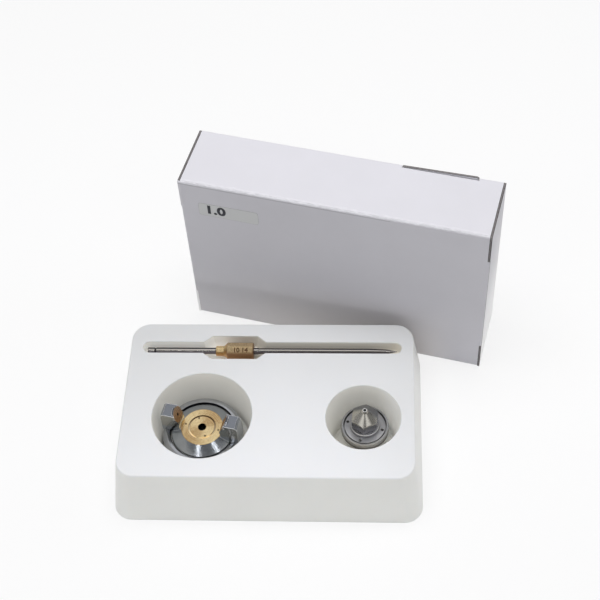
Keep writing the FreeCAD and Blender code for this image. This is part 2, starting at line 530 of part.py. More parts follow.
# ---- carton: five glued panels, their corner flaps and label
def makeCarton():
    high, cut, back = "sizes.cartonHeight", "sizes.reliefCut", "sizes.cartonDepth"
    cutTop = "(sizes.cartonHeight - sizes.reliefCut)"
    right = [(innerHalf, "0"), (innerHalf, cut), (half, cut),
             (half, cutTop), (innerHalf, cutTop), (innerHalf, high)]
    left = [("-" + x, y) for x, y in reversed(right)]
    body, pad = makePanel("carton_base", "XZ", right + left, "0", reverse=True)
    outerX, topZ = value(half), value(high)

    def foldLine(edge):
        box = edge.BoundBox
        onFace = abs(box.YMax) < 1e-4
        level = box.ZLength < 1e-4 and (abs(box.ZMin) < 1e-4 or abs(box.ZMin - topZ) < 1e-4)
        side = box.XLength < 1e-4 and abs(abs(box.XMin) - outerX) < 1e-4
        return onFace and (level and box.XLength > 1 or side and box.ZLength > 1)

    roundEdges(body, "folds", pad, "sizes.foldRound", foldLine)

    notch = [("(%s - sizes.lidGap)" % tabEnds[0], back),
             ("(%s - sizes.lidGap)" % tabEnds[0], "(%s - sizes.lidGap)" % lidInside),
             ("(%s + sizes.lidGap)" % tabEnds[1], "(%s - sizes.lidGap)" % lidInside),
             ("(%s + sizes.lidGap)" % tabEnds[1], back)]
    wall = [("-" + innerHalf, "sizes.board"), (innerHalf, "sizes.board"), (innerHalf, back)]
    makePanel("carton_top_wall", "XY", wall + notch[::-1] + [("-" + innerHalf, back)], topInside)
    makePanel("carton_bottom_wall", "XY", rectangle("-" + innerHalf, innerHalf, "sizes.board", back), "0")

    end = [("0", "0"), (back, "0"), (back, high), ("0", high), ("0", cutTop),
           ("sizes.board", cutTop), ("sizes.board", cut), ("0", cut)]
    makePanel("carton_left_end", "YZ", end, "-" + half)
    makePanel("carton_right_end", "YZ", end, innerHalf)

    near, far = "(sizes.board + sizes.flapGap)", "(%s - sizes.glueInset)" % lidInside
    nearTaper, farTaper = "(%s + sizes.glueTaper)" % near, "(%s - sizes.glueTaper)" % far
    for side, level in (("left", "-" + innerHalf), ("right", "(%s - sizes.board)" % innerHalf)):
        for place, root, tip in (("upper", topInside, "(%s - sizes.glueLength)" % topInside),
                                 ("lower", "sizes.board", "(sizes.board + sizes.glueLength)")):
            flap = [(near, root), (far, root), (farTaper, tip), (nearTaper, tip)]
            makePanel("%s_%s_glue_flap" % (side, place), "YZ", flap, level)

    labelLeft = "(sizes.labelLeft - %s)" % half
    labelTop = "(sizes.cartonHeight - sizes.labelDrop)"
    body, pad = makePanel("size_label", "XZ", rectangle(
        labelLeft, "(%s + sizes.labelLength)" % labelLeft,
        "(%s - sizes.labelHeight)" % labelTop, labelTop), "0", "sizes.labelThick")
    roundEdges(body, "labelRound", pad, "sizes.labelCorner", lambda e: e.BoundBox.YLength > 0.01)


# ---- carton lid with its pull tab, tuck flap and two dust flaps
def makeLid():
    tab = [(tabEnds[1], lidTop), (tabEnds[1], "(sizes.cartonHeight + sizes.tabHigh)"),
           (tabEnds[0], "(sizes.cartonHeight + sizes.tabLow)"), (tabEnds[0], lidTop)]
    outline = [("-" + lidHalf, lidLow), (lidHalf, lidLow), (lidHalf, lidTop)]
    outline += tab + [("-" + lidHalf, lidTop)]
    body, pad = makePanel("carton_lid", "XZ", outline, "-" + lidInside, reverse=True)
    tabTop = value("sizes.cartonHeight + sizes.tabHigh")
    roundEdges(body, "tabRound", pad, "sizes.tabRound",
               lambda e: e.BoundBox.ZLength < 1e-4 and abs(e.BoundBox.ZMin - tabTop) < 1e-3)

    # tuck flap: leans a little way down from the lid's top edge
    cos, sin = "cos(sizes.tuckLean)", "sin(sizes.tuckLean)"
    rootY = "(%s - sizes.lidGap - sizes.board * %s)" % (lidInside, sin)
    tipY, tipZ = "(%s - sizes.tuckLength * %s)" % (rootY, cos), "(%s - sizes.tuckLength * %s)" % (lidTop, sin)
    flap = newBody("tuck_flap", cartonPlace, "sizes.cartonTurn")
    outline = addPolygon(newSketch(flap, "tuckSection", "YZ"), [
        (rootY, lidTop), (tipY, tipZ),
        ("(%s + sizes.board * %s)" % (tipY, sin), "(%s - sizes.board * %s)" % (tipZ, cos)),
        ("(%s + sizes.board * %s)" % (rootY, sin), "(%s - sizes.board * %s)" % (lidTop, cos))])
    pad = extrude(flap, "Pad", outline, "(2 * (%s - sizes.tuckInset))" % lidHalf, both=True)
    frontY, board = value(tipY), value("sizes.board")
    roundEdges(flap, "tuckCorners", pad, "sizes.tuckCorner",
               lambda e: abs(e.Length - board) < 1e-3 and e.BoundBox.YMin < frontY + 0.5)

    rootY = "(%s - sizes.lidGap)" % lidInside
    tipY = "(%s - sizes.dustDepth)" % rootY
    dustLow = "(sizes.board + sizes.glueLength + sizes.dustLowGap)"
    dustHigh = "(%s - sizes.glueLength - sizes.dustHighGap)" % topInside
    dust = [(rootY, dustLow), (rootY, dustHigh), (tipY, "(%s - sizes.dustTaper)" % dustHigh),
            (tipY, "(%s + sizes.dustTaper)" % dustLow)]
    makePanel("left_dust_flap", "YZ", dust, "-" + lidHalf)
    makePanel("right_dust_flap", "YZ", dust, "(%s - sizes.board)" % lidHalf)


makeTray()
makeNeedle()
makeAirCap()
makeRing()
makeNozzle()
makeCarton()
makeLid()
doc.recompute()

for item in doc.Objects:
    if {"Invalid", "Error"} & set(item.State):
        raise RuntimeError("%s did not build: %s" % (item.Label, item.State))

nodes = [item for item in doc.Objects if item.TypeId in ("PartDesign::Body", "Part::Torus")]
os.makedirs("parts", exist_ok=True)
for node in nodes:
    shape = node.Shape
    if shape.isNull() or not shape.isValid() or len(shape.Solids) != 1:
        raise RuntimeError("%s has no sound single solid" % node.Label)
for node in nodes:
    node.Shape.exportStep("parts/%s.step" % node.Label)
    box = node.Shape.BoundBox
    print("%-24s volume %9.2f  box %7.2f %7.2f %7.2f  to %7.2f %7.2f %7.2f" % (
        node.Label, node.Shape.Volume, box.XMin, box.YMin, box.ZMin, box.XMax, box.YMax, box.ZMax))
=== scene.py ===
import bpy
import bmesh
import json
import math
from mathutils import Matrix, Vector

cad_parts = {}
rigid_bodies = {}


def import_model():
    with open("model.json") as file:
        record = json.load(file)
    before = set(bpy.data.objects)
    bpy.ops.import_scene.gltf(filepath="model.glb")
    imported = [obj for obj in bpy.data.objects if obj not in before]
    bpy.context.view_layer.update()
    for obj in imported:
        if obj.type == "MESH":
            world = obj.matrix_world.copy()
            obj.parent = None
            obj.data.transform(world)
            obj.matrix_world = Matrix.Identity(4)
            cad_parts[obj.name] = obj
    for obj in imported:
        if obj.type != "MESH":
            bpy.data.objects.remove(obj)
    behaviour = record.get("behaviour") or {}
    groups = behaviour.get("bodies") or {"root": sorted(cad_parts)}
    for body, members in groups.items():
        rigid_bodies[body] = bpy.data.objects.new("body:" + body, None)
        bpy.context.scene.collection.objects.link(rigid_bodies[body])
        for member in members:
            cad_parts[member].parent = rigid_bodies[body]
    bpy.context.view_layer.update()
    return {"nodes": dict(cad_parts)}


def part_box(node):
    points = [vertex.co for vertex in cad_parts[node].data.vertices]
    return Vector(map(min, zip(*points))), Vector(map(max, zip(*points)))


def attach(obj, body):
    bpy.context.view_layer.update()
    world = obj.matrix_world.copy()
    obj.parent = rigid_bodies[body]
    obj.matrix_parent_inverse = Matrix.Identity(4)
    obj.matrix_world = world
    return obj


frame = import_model()
nodes = frame["nodes"]
print("frame loaded with", len(nodes), "CAD nodes")

scene = bpy.context.scene
scene.view_settings.view_transform = "Standard"


# helpers for shader maths and materials

class Wire:
    # wraps one output socket, so shader maths reads as plain sums
    def __init__(self, tree, socket):
        self.tree = tree
        self.socket = socket

    def node(self, kind, settings=None, sockets=None, out=0):
        made = self.tree.nodes.new(kind)
        for name, setting in (settings or {}).items():
            if name == "stops":
                ramp = made.color_ramp
                while len(ramp.elements) < len(setting):
                    ramp.elements.new(0.5)
                for stop, (place, tone) in zip(ramp.elements, setting):
                    stop.position = place
                    stop.color = (*tone, 1)
            else:
                setattr(made, name, setting)
        for name, given in (sockets or {}).items():
            if isinstance(given, Wire):
                self.tree.links.new(given.socket, made.inputs[name])
            else:
                made.inputs[name].default_value = given
        return Wire(self.tree, made.outputs[out])

    def sum(self, operation, *others):
        return self.node("ShaderNodeMath", {"operation": operation}, dict(enumerate((self, *others))))

    def __add__(self, other): return self.sum("ADD", other)
    def __radd__(self, other): return self.sum("ADD", other)
    def __sub__(self, other): return self.sum("SUBTRACT", other)
    def __mul__(self, other): return self.sum("MULTIPLY", other)
    def __rmul__(self, other): return self.sum("MULTIPLY", other)
    def __truediv__(self, other): return self.sum("DIVIDE", other)
    def __pow__(self, other): return self.sum("POWER", other)
    def __abs__(self): return self.sum("ABSOLUTE")
    def __gt__(self, other): return self.sum("GREATER_THAN", other)
    def __lt__(self, other): return self.sum("LESS_THAN", other)

    def __rsub__(self, other):
        return self.node("ShaderNodeMath", {"operation": "SUBTRACT"}, {0: other, 1: self})

    def ease(self, low, high):
        # 0 below low, 1 above high, smooth between
        return self.node("ShaderNodeMapRange", {"interpolation_type": "SMOOTHSTEP"},
                         {"Value": self, "From Min": low, "From Max": high})

    def mix(self, first, second):
        # colour between two colours, by this factor
        return self.node("ShaderNodeMix", {"data_type": "RGBA"}, {0: self, 6: first, 7: second}, out=2)

    def axes(self):
        made = self.tree.nodes.new("ShaderNodeSeparateXYZ")
        self.tree.links.new(self.socket, made.inputs[0])
        return [Wire(self.tree, made.outputs[i]) for i in range(3)]

    def placed(self, centre=(0, 0, 0), turn=0.0):
        # coordinates measured from a centre, in axes turned about Z, in degrees
        return self.node("ShaderNodeMapping", {"vector_type": "TEXTURE"}, {
            "Vector": self, "Location": centre, "Rotation": (0, 0, math.radians(turn))})

    def noise(self, scale, detail=2.0, rough=0.5, stretch=(1, 1, 1)):
        spread = self.node("ShaderNodeVectorMath", {"operation": "MULTIPLY"}, {0: self, 1: stretch})
        return self.node("ShaderNodeTexNoise", {}, {
            "Vector": spread, "Scale": scale, "Detail": detail, "Roughness": rough})


def tone(red, green, blue):
    # display values of 0 to 255 as scene colour
    return tuple(((c / 255 + 0.055) / 1.055) ** 2.4 if c > 10 else c / 3294.6 for c in (red, green, blue))


def paint(red, green, blue):
    return (*tone(red, green, blue), 1)


def startMaterial(name, **plain):
    # returns the material's shader and its object coordinates, ready to be wired
    material = bpy.data.materials.new(name)
    material.use_nodes = True
    tree = material.node_tree
    shader = tree.nodes["Principled BSDF"]
    for socket, given in plain.items():
        shader.inputs[socket.replace("_", " ")].default_value = given
    where = tree.nodes.new("ShaderNodeTexCoord")
    return material, shader, Wire(tree, where.outputs["Object"]), Wire(tree, where.outputs["Normal"])


def join(shader, **wires):
    for socket, wire in wires.items():
        wire.tree.links.new(wire.socket, shader.inputs[socket.replace("_", " ")])


def bump(height, distance, strength=1.0, roundness=0.0):
    # relief from a height, over edges that are softened by a small radius
    sockets = {"Height": height, "Distance": distance, "Strength": strength}
    if roundness:
        sockets["Normal"] = height.node("ShaderNodeBevel", {"samples": 6}, {"Radius": roundness})
    return height.node("ShaderNodeBump", {}, sockets)


def edges(wire, reach, low=0.03, high=0.2):
    # 1 along the edges of a piece, within a small reach, and 0 on its faces
    eased = wire.node("ShaderNodeBevel", {"samples": 6}, {"Radius": reach})
    true = Wire(wire.tree, wire.tree.nodes.new("ShaderNodeNewGeometry").outputs["True Normal"])
    level = eased.node("ShaderNodeVectorMath", {"operation": "DOT_PRODUCT"}, {0: eased, 1: true}, 1)
    return (1.0 - level).ease(low, high)


def rings(wire, scale):
    # fine lathe marks, from a length measured across them
    return wire.node("ShaderNodeTexNoise", {"noise_dimensions": "1D"}, {
        "W": wire * scale, "Scale": 1.0, "Detail": 3.0})


def dress(node, material):
    nodes[node].data.materials.clear()
    nodes[node].data.materials.append(material)


# places that several pieces share, in metres
ringLow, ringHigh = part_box("retaining_ring")
distLow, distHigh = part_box("air_distribution_ring")
places = {
    "cap": ((ringLow.x + ringHigh.x) / 2, (ringLow.y + ringHigh.y) / 2, 0),
    "nozzle": ((distLow.x + distHigh.x) / 2, (distLow.y + distHigh.y) / 2, 0),
    "hornTurn": -12.0, "carton": (0.032545, 0.062223, 0), "cartonTurn": -13.53,
}


# tray: white satin moulding; its pocket walls carry a painted glow, standing in for light that passes the
# thin plastic
trayLook = {"roughness": 0.42, "grain": 0.00002, "edge": 0.0004, "top": 0.0333, "paintedGlow": 0.16,
            "flareX": 0.0675, "flareY": 0.0435, "troughStart": 0.012, "troughFull": 0.020}

trayMoulding, shader, spot, facing = startMaterial("trayMoulding", Roughness=trayLook["roughness"],
                                                   Specular_IOR_Level=0.4, Subsurface_Weight=0.25,
                                                   Subsurface_Radius=(1.0, 0.9, 0.8),
                                                   Subsurface_Scale=0.0015,
                                                   Emission_Strength=trayLook["paintedGlow"])
cloud = spot.noise(35.0, 3.0)
x, y, z = spot.axes()
outward = (abs(y) - trayLook["flareY"]).ease(0.0, 0.003)
outward = (abs(x) - trayLook["flareX"]).ease(0.0, 0.003).sum("MAXIMUM", outward)
inside = (1.0 - outward) * (trayLook["top"] - z).ease(0.0003, 0.0012)  # pocket and trough walls
trough = y.ease(trayLook["troughStart"], trayLook["troughFull"])
# painted shade on the top: darker towards the back, to each side and at the right end, with random mottle
topShade = 0.55 - y * 10.0 - abs(x - 0.005) * 3.0 - 0.1 * x.ease(0.045, 0.07) + 0.1 * cloud
topShade = topShade.mix(paint(214, 215, 216), paint(238, 239, 242))
flank = cloud.mix(paint(236, 236, 233), paint(242, 243, 239))
top = facing.axes()[2].ease(0.3, 0.9).mix(flank, topShade)
# wall tones: darker and warmer than the top as painted shade; the trough walls paler at their left end and
# the right pocket's outer wall paler, painted light
along = x.ease(-0.03, -0.012)
groove = along.mix(paint(246, 245, 240), paint(218, 213, 202))
pocket = cloud.mix(paint(226, 225, 219), paint(234, 233, 228))
pocket = x.ease(0.054, 0.064).mix(pocket, paint(246, 246, 244))
wall = trough.mix(pocket, groove)
# painted glow on the pocket and trough walls, weaker along the trough except at its left end
paintedGlow = inside * z.ease(0.005, 0.013) * (1.0 - 0.6 * along * trough)
join(shader, Base_Color=inside.mix(top, wall),
     Emission_Color=paintedGlow.mix(paint(0, 0, 0), paint(244, 242, 234)),
     Normal=bump(spot.noise(900.0, 2.0), trayLook["grain"], 0.5, trayLook["edge"]))
dress("tray", trayMoulding)


# needle: ground steel rod and turned brass collar
needleLook = {"slotStart": 0.0037, "slotEnd": 0.0046, "mark": 0.000012, "edge": 0.0001}
collarLook = {"barrelStart": 0.0055, "rim": 0.00025, "mark": 0.000015, "edge": 0.00015}

groundSteel, shader, spot, facing = startMaterial("groundSteel", Metallic=1.0)
lathe = spot.noise(1.0, 3.0, 0.7, (9000, 60, 60))
nx, ny, nz = facing.axes()
# painted highlight along the rod's upper side, over the darker painted shade below
crownHighlight = nz.ease(0.76, 0.93) * (1.0 - ny.ease(-0.22, 0.05))
shade = spot.noise(90.0, 2.0).mix(paint(102, 98, 104), paint(118, 114, 119))
shade = ny.ease(-0.2, 0.1).mix(shade, paint(98, 94, 97))
fromTail = spot.axes()[0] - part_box("needle_rod")[0].x
# the slot near the tail is painted dark, painted shade in the groove
slot = (fromTail > needleLook["slotStart"]) * (fromTail < needleLook["slotEnd"])
join(shader, Base_Color=slot.mix(crownHighlight.mix(shade, paint(232, 228, 219)), paint(58, 56, 58)),
     Roughness=0.16 + 0.1 * lathe,
     Normal=bump(lathe, needleLook["mark"], 0.6, needleLook["edge"]))
dress("needle_rod", groundSteel)

collarLow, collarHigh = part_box("needle_collar")
turnedBrass, shader, spot, facing = startMaterial("turnedBrass", Metallic=1.0)
lathe = spot.noise(1.0, 3.0, 0.7, (7000, 40, 40))
cloud = spot.noise(260.0, 3.0)
barrel = (spot.axes()[0] - collarLow.x).ease(collarLook["barrelStart"], 0.0060)
# painted highlight along the collar's upper side, on the neck and the sleeve
crownHighlight = facing.axes()[2].ease(0.5, 0.92)
neck = crownHighlight.mix(paint(168, 128, 82), paint(255, 226, 170))
weave = spot.noise(1.0, 2.0, 0.5, (2600, 900, 900)).ease(0.35, 0.65)
sleeve = (crownHighlight * (0.45 + 0.55 * cloud)).mix(paint(168, 130, 98), paint(252, 228, 180))
sleeve = (weave * 0.4).mix(sleeve, paint(152, 120, 88))
# darker along the rims, painted shade
join(shader, Base_Color=edges(spot, collarLook["rim"]).mix(barrel.mix(neck, sleeve), paint(110, 80, 62)),
     Roughness=0.22 + 0.14 * barrel + 0.12 * lathe,
     Normal=bump(lathe, collarLook["mark"], 0.6, collarLook["edge"]))
dress("needle_collar", turnedBrass)


# air cap: dark nickel plate, with the faces that are cut after plating left as bare brass
capLook = {"face": 0.0216, "faceRadius": 0.0108, "footRadius": 0.01145, "footTop": 0.0246,
           "reach": 0.0121, "height": 0.0296, "slope": 22.0, "boss": 0.0040,
           "gapRadius": 0.0158, "coneTop": 0.0200, "hornTop": 0.0305, "centreHole": 0.00222,
           "grooveInner": 0.00635, "grooveOuter": 0.00715, "glow": 0.55}
ringLook = {"lipRadius": 0.0171, "lipLow": 0.0125, "rim": 0.0003, "mark": 0.00001, "edge": 0.00015}

cappedNickel, shader, spot, facing = startMaterial("cappedNickel", Metallic=1.0,
                                                   Emission_Strength=capLook["glow"])
local = spot.placed(places["cap"], places["hornTurn"])
x, y, z = local.axes()
radius = (x * x + y * y) ** 0.5
cosine, sine = math.cos(math.radians(capLook["slope"])), math.sin(math.radians(capLook["slope"]))
depth = (abs(x) - capLook["reach"]) * cosine - (z - capLook["height"]) * sine
along = (abs(x) - capLook["reach"]) * sine + (z - capLook["height"]) * cosine
fromJet = (along * along + y * y) ** 0.5
nx, ny, nz = facing.axes()
onFace = (radius < capLook["faceRadius"]) * (abs(z - capLook["face"] + 0.0003) < 0.0004)
onFoot = (radius < capLook["footRadius"]) * (z > capLook["face"]) * (z < capLook["footTop"])
onSpot = (abs(depth) < 0.00015) * (fromJet < capLook["boss"] + 0.0002)
bare = onFace.sum("MAXIMUM", onSpot).sum("MAXIMUM", onFoot)
turning = rings(radius, 9000.0)
# painted shadow between cap and ring: the plate there is near black
gapShadow = radius.ease(capLook["gapRadius"], 0.0160) * (z < capLook["coneTop"]) * (nz > 0.6)  # beside the ring
edgeHighlight = edges(spot, 0.00045) * (1.0 - gapShadow)  # painted highlight along the edges
plate = spot.noise(300.0, 3.0).mix(paint(158, 163, 170), paint(186, 190, 196))
# horn tops painted darker and horn faces turned to the front painted paler, painted shade and light
hornTop = (z > capLook["hornTop"]) * nz.ease(0.6, 0.9)
hornFront = (z > 0.0225) * (0.0 - ny).ease(0.3, 0.7)
plate = gapShadow.mix(hornFront.mix(plate, paint(178, 177, 172)), paint(12, 13, 19))
edgeLit = edgeHighlight.mix(hornTop.mix(plate, paint(138, 142, 150)), paint(250, 251, 253))
# painted sheen: two lobes of light across the turned face, mixed with the lathe marks and random tone
sheenFan = (2.0 * y.sum("ARCTAN2", x) + 1.1).sum("COSINE") * 0.5 + 0.5
sheen = 0.42 * turning + 0.33 * spot.noise(700.0, 3.0) + 0.25 * sheenFan
brass = sheen.ease(0.2, 0.75).mix(paint(186, 150, 102), paint(255, 231, 180))
groove = (radius > capLook["grooveInner"]) * (radius < capLook["grooveOuter"]) * onFace
# the groove painted pale at the front and dark at the back, painted highlight and shade
brass = groove.mix(brass, (0.5 - y * 90.0).mix(paint(120, 88, 56), paint(255, 238, 200)))
# painted glint: the edges of the horn tops glow white
glint = edgeHighlight * (z > 0.0295) * (1.0 - bare)
# painted glow in the front of the groove and on the horn feet
lustre = groove * (0.0 - y).ease(0.0015, 0.0050) * abs(x).ease(0.0006, 0.0022)
shine = onFoot.sum("MAXIMUM", lustre)
# the horn feet painted near white, a painted highlight
tones = onFoot.mix(onSpot.mix(brass, paint(196, 164, 136)), paint(255, 236, 180))
# the bore of the centre hole painted near black, painted shade
orifice = (radius < capLook["centreHole"]) * (z < capLook["face"] - 0.0001)
join(shader, Base_Color=orifice.mix(bare.mix(edgeLit, tones), paint(34, 35, 40)),
     Roughness=0.13 + 0.1 * turning + 0.08 * bare,
     Emission_Color=shine.mix(glint.mix(paint(0, 0, 0), paint(255, 255, 255)), paint(178, 146, 92)),
     Normal=bump(turning, 0.00002, 0.5, 0.00015))
dress("air_cap", cappedNickel)

ringNickel, shader, spot, facing = startMaterial("ringNickel", Metallic=1.0)
x, y, z = spot.placed(places["cap"]).axes()
radius = (x * x + y * y) ** 0.5
turning = rings(radius + z, 7000.0)
cloud = spot.noise(200.0, 3.0)
# painted shadow: the ring's inner wall at its opening is near black
lipShadow = (radius < ringLook["lipRadius"]) * (z > ringLook["lipLow"])
plate = cloud.mix(paint(160, 162, 167), paint(190, 192, 196))
# painted highlight along the ring's edges
plate = edges(spot, ringLook["rim"]).mix(plate, paint(238, 239, 242))
join(shader, Base_Color=lipShadow.mix(plate, paint(20, 21, 27)), Roughness=0.1 + 0.1 * turning,
     Normal=bump(turning, ringLook["mark"], 0.5, ringLook["edge"]))
dress("retaining_ring", ringNickel)

springSteel, shader, spot, facing = startMaterial("springSteel", Metallic=1.0, Roughness=0.3)
join(shader, Base_Color=spot.noise(300.0).mix(paint(120, 120, 122), paint(160, 160, 162)))
dress("cap_snap_ring", springSteel)

sealPlastic, shader, spot, facing = startMaterial("sealPlastic", Roughness=0.5)
join(shader, Base_Color=spot.noise(400.0).mix(paint(216, 216, 210), paint(230, 230, 226)))
dress("cap_slip_washer", sealPlastic)
dress("nozzle_seal", sealPlastic)


# fluid nozzle: turned stainless steel with a polished tip, in its air distribution ring
nozzleLook = {"polished": 0.0273, "flatsLow": 0.0186, "flatsTop": 0.0277, "tip": 0.0336,
              "tipInner": 0.00056, "orifice": 0.0008, "orificeLow": 0.03, "discLow": 0.0165,
              "discTop": 0.0214, "rim": 0.00025, "mark": 0.000015, "edge": 0.00012}
distributionLook = {"sideLow": 0.0158, "sideTop": 0.0186, "marks": 60.0, "mark": 0.00002, "edge": 0.00015}

nozzleSteel, shader, spot, facing = startMaterial("nozzleSteel", Metallic=1.0)
x, y, z = spot.placed(places["nozzle"]).axes()
radius = (x * x + y * y) ** 0.5
turning = rings(radius + 0.4 * z, 8000.0)
nz = facing.axes()[2]
polished = z.ease(nozzleLook["polished"], 0.0278)
flats = (z > nozzleLook["flatsLow"]) * (z < nozzleLook["flatsTop"]) * (abs(nz) < 0.3)
tipFace = (z > nozzleLook["tip"]) * (radius > nozzleLook["tipInner"])
orifice = (radius < nozzleLook["orifice"]) * (z > nozzleLook["orificeLow"])
cloud = spot.noise(260.0, 3.0)
disc = (z < nozzleLook["discTop"]) * (z > nozzleLook["discLow"])
# painted light: the disc paler towards the front, darker towards the back
front = y.ease(-0.009, 0.001).mix(paint(232, 232, 234), paint(156, 156, 160))
rest = cloud.mix(paint(146, 146, 150), paint(172, 172, 175))
body = disc.mix(rest, (0.3 * cloud).mix(front, paint(236, 236, 238)))
# painted light and shade: the cone paler and warmer to the front left, darker to the back right
cone = (y + 0.4 * x).ease(-0.0012, 0.0022).mix(paint(200, 197, 189), paint(122, 123, 128))
# the hex flats a plain grey a little darker than the body, painted shade
finished = tipFace.mix(polished.mix(flats.mix(body, paint(146, 146, 152)), cone), paint(250, 250, 250))
# painted highlight along the edges
edgeLit = (edges(spot, nozzleLook["rim"]) * (1.0 - tipFace)).mix(finished, paint(222, 221, 218))
# the orifice painted black, painted shade in the bore
join(shader, Base_Color=orifice.mix(edgeLit, paint(8, 8, 8)),
     Roughness=0.2 + 0.14 * turning - 0.06 * polished + 0.16 * disc,
     Normal=bump(turning, nozzleLook["mark"], 0.5, nozzleLook["edge"]))
dress("fluid_nozzle", nozzleSteel)

distributionAlloy, shader, spot, facing = startMaterial("distributionAlloy", Metallic=1.0)
x, y, z = spot.placed(places["nozzle"]).axes()
striation = rings(y.sum("ARCTAN2", x), distributionLook["marks"])
outer = 1.0 - abs(facing.axes()[2]).ease(0.3, 0.6)
alloy = striation.mix(paint(130, 131, 135), paint(200, 201, 203))
# painted light: the ring's face paler towards the front
alloy = y.ease(-0.012, -0.002).mix(striation.mix(paint(160, 158, 156), paint(216, 214, 212)), alloy)
# painted shade: the outer wall darker, darkest towards the bottom
low = striation.mix(paint(62, 57, 54), paint(110, 105, 101))
high = striation.mix(paint(140, 138, 136), paint(190, 188, 186))
side = z.ease(distributionLook["sideLow"], distributionLook["sideTop"]).mix(low, high)
join(shader, Base_Color=outer.mix(alloy, side), Roughness=0.24 + 0.12 * striation + 0.1 * outer,
     Normal=bump(striation, distributionLook["mark"], 0.5, distributionLook["edge"]))
dress("air_distribution_ring", distributionAlloy)


# carton: white coated board, wrapped over its folds and raw at its cut edges
# board tones differ from panel to panel as painted light and shade: the front panel darkest, the walls
# lightest
boardLook = {
    "endBoard": {"shadedCoat": ((200, 199, 204), (208, 207, 213)), "axis": 0, "middle": 0.0800},
    "wrapBoard": {"shadedCoat": ((194, 193, 199), (203, 202, 208)), "axis": 1, "middle": 0.0006},
    "lidBoard": {"shadedCoat": ((204, 203, 209), (212, 211, 217)), "axis": 1, "middle": 0.0362},
    "wallBoard": {"shadedCoat": ((212, 211, 217), (220, 219, 226)), "axis": 2, "middle": 0.1077},
    "liner": 0.00032, "crease": 0.0016, "top": 0.1083, "score": 0.0016, "scoreEnd": 0.03,
}


def boardMaterial(name):
    look = boardLook[name]
    material, shader, spot, facing = startMaterial(name, Specular_IOR_Level=0.3)
    local = spot.placed(places["carton"], places["cartonTurn"])
    x, y, z = local.axes()
    turned = facing.node("ShaderNodeMapping", {"vector_type": "TEXTURE"}, {
        "Vector": facing, "Rotation": (0, 0, math.radians(places["cartonTurn"]))})
    nx, ny, nz = turned.axes()
    mottle = local.noise(28.0, 4.0, 0.6)
    shadedCoat = mottle.mix(paint(*look["shadedCoat"][0]), paint(*look["shadedCoat"][1]))
    ruffle = local.noise(1.0, 3.0, 0.6, (160, 500, 900))
    fold = (boardLook["crease"] + 0.0022 * ruffle - y).ease(0.0, 0.0008)
    fold = fold * (z - boardLook["top"] + 0.0014).ease(0.0, 0.0006)
    # paler in a ragged band along the top fold
    foldPale = fold * (local.noise(1.0, 4.0, 0.7, (300, 1800, 1800)).ease(0.35, 0.65))
    shadedCoat = (foldPale * 0.8).mix(shadedCoat, paint(228, 227, 233))
    scored = (abs(z - boardLook["top"] + boardLook["score"]) < 0.0003) * (x < boardLook["scoreEnd"])
    # the score line painted darker, painted shade in the crease
    shadedCoat = (scored * 0.35).mix(shadedCoat, paint(120, 119, 124))
    raw = abs((nx, ny, nz)[look["axis"]]) < 0.5  # a face that looks along the board is a cut edge
    if name == "wrapBoard":
        raw = raw * (abs(nx) > 0.9)
        # painted light: the front panel paler low down behind the tray, lightening the tray's shadow there
        behindTray = (0.3 + 0.7 * x.ease(-0.075, -0.02)) * (1.0 - x.ease(0.045, 0.07))
        behindTray = (1.0 - z.ease(0.0, 0.05)) * behindTray
        shadedCoat = behindTray.mix(shadedCoat, paint(217, 213, 213))
    if name == "endBoard":
        raw = raw * (1.0 - (x < 0.0) * (y < 0.0005))
        # painted light: the end panels paler towards the bottom
        shadedCoat = z.ease(0.0, 0.1).mix(paint(255, 255, 255), shadedCoat)
    fibres = spot.noise(1.0, 4.0, 0.6, (1500, 1500, 300))
    across = abs(abs((x, y, z)[look["axis"]]) - look["middle"])
    core = across < boardLook["liner"]
    # raw edges: grey fibre darkened partly by painted shade, darkest in the fluted core, where the shade
    # between the flutes is painted
    edge = fibres.mix(core.mix(paint(34, 31, 34), paint(112, 108, 110)),
                      core.mix(paint(70, 66, 66), paint(152, 148, 148)))
    join(shader, Base_Color=raw.mix(shadedCoat, edge), Roughness=0.5 + 0.35 * raw,
         Normal=bump(fibres * 0.5 + fold * ruffle * 4.0, 0.00003, 0.35, 0.0002))
    return material


boards = {"endBoard": ["carton_left_end", "carton_right_end", "left_upper_glue_flap",
                       "left_lower_glue_flap", "right_upper_glue_flap", "right_lower_glue_flap",
                       "left_dust_flap", "right_dust_flap"],
          "wrapBoard": ["carton_base"], "lidBoard": ["carton_lid"],
          "wallBoard": ["carton_top_wall", "carton_bottom_wall", "tuck_flap"]}
for name, panels in boards.items():
    board = boardMaterial(name)
    for panel in panels:
        dress(panel, board)

labelPaper, shader, spot, facing = startMaterial("labelPaper", Roughness=0.55)
paper = spot.noise(90.0, 3.0).mix(paint(194, 195, 196), paint(201, 202, 202))
join(shader, Base_Color=edges(spot, 0.0003).mix(paper, paint(118, 120, 122)))
dress("size_label", labelPaper)
print("materials laid on the CAD nodes")


def addPiece(name, mesh, material, body, slot):
    mesh.name = name
    mesh.materials.clear()
    mesh.materials.append(material)
    piece = bpy.data.objects.new(name, mesh)
    scene.collection.objects.link(piece)
    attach(piece, body)
    return piece


def frameAt(origin, first, second, third):
    # matrix that carries X, Y and Z onto three directions at a place
    return Matrix.Translation(origin) @ Matrix((first, second, third)).transposed().to_4x4()


cartonTurn = Matrix.Rotation(math.radians(places["cartonTurn"]), 4, "Z")
cartonFrame = Matrix.Translation(places["carton"]) @ cartonTurn


